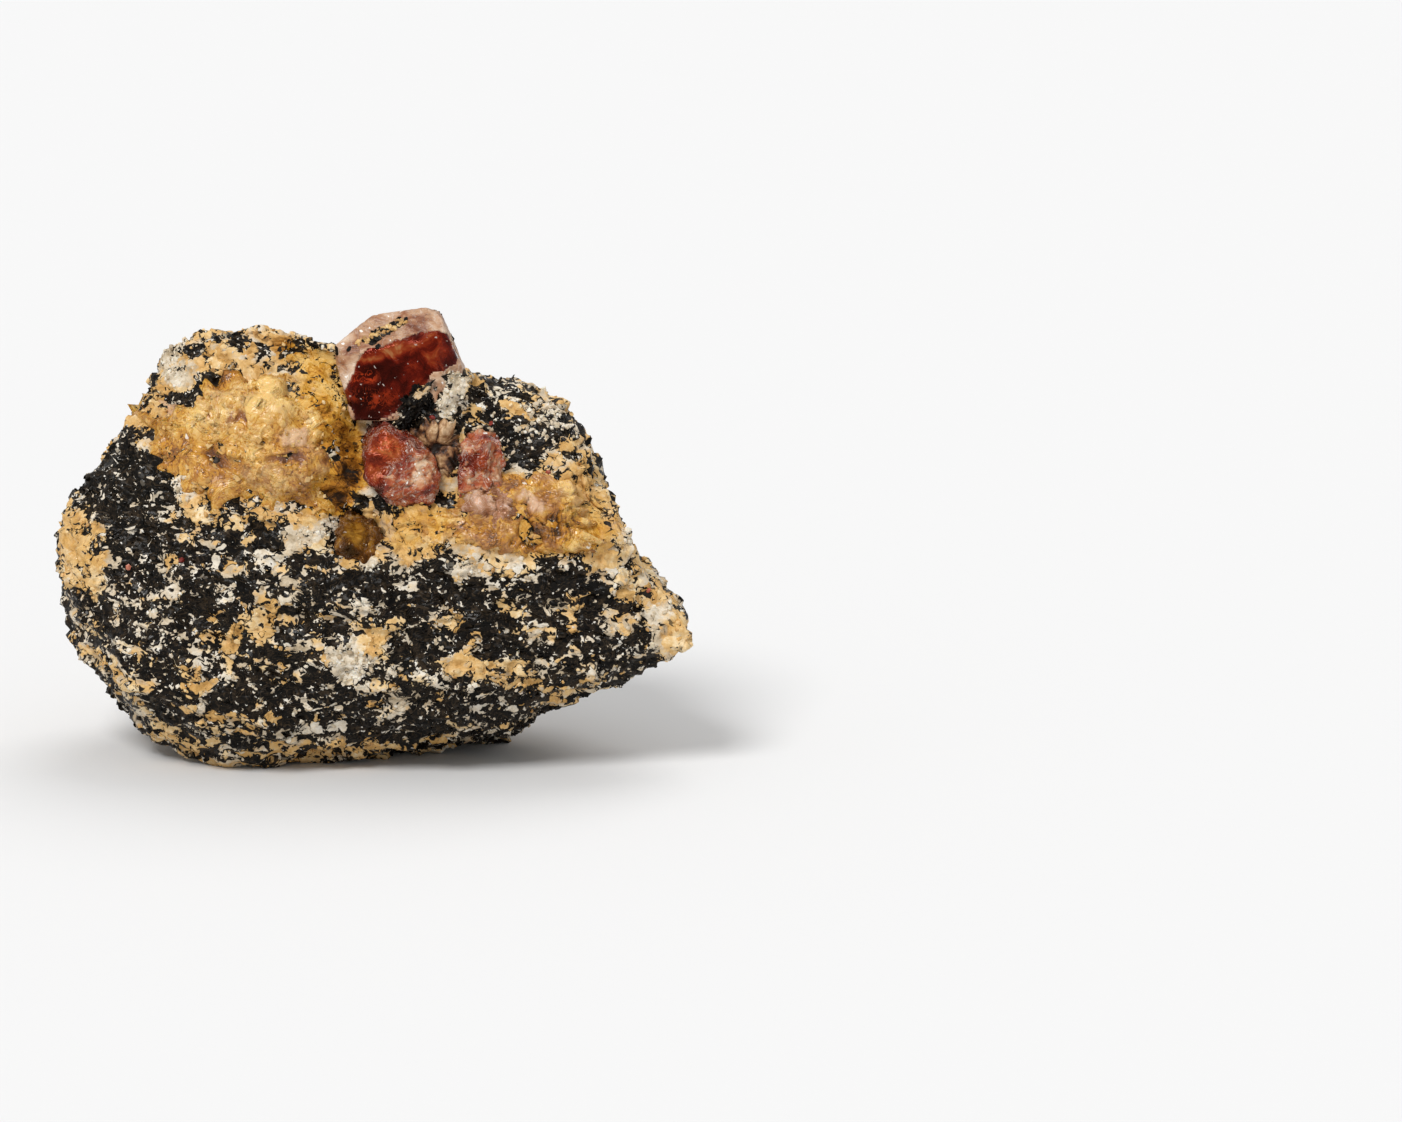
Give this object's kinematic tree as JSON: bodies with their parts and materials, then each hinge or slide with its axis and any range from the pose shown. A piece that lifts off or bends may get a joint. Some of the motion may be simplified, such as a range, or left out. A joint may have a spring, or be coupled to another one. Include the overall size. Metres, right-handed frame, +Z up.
{
  "type": "zircon crystal specimen on matrix",
  "caption": "Lump of biotite gneiss with red-brown zircon crystals at its crest and faces, honey calcite, quartz and feldspar, resting on a small flat base.",
  "frame": {"origin": "on the resting plane, under the middle of the specimen's bounding box", "axes": "+Z up, -Y the front with the dark glossy face of the main crystal, +X towards the pointed end on the viewer's right"},
  "size_m": [0.0634, 0.0334, 0.0457],
  "materials": {
    "gneiss": "broken, granular black mica with cream and ochre feldspar grains",
    "zircon_dark": "glossy crystal faces, dark red-brown inside with pale frosted edges",
    "zircon_etched": "etched and frosted, red to pinkish white",
    "quartz": "clear smoky, broken conchoidally",
    "calcite_amber": "deep amber, translucent",
    "calcite": "waxy translucent honey grains",
    "feldspar": "opaque cream, cleaved, with rusty stains"
  },
  "bodies": {
    "root": {"matrix_rock": "gneiss", "zircon_main": "zircon_dark", "zircon_front": "zircon_etched", "zircon_right": "zircon_etched", "zircon_back": "zircon_dark", "quartz_back": "quartz", "calcite_amber": "calcite_amber", "calcite_yellow": "calcite", "calcite_honey": "calcite", "feldspar_back": "feldspar", "feldspar_knob": "feldspar"}
  },
  "joints": []
}
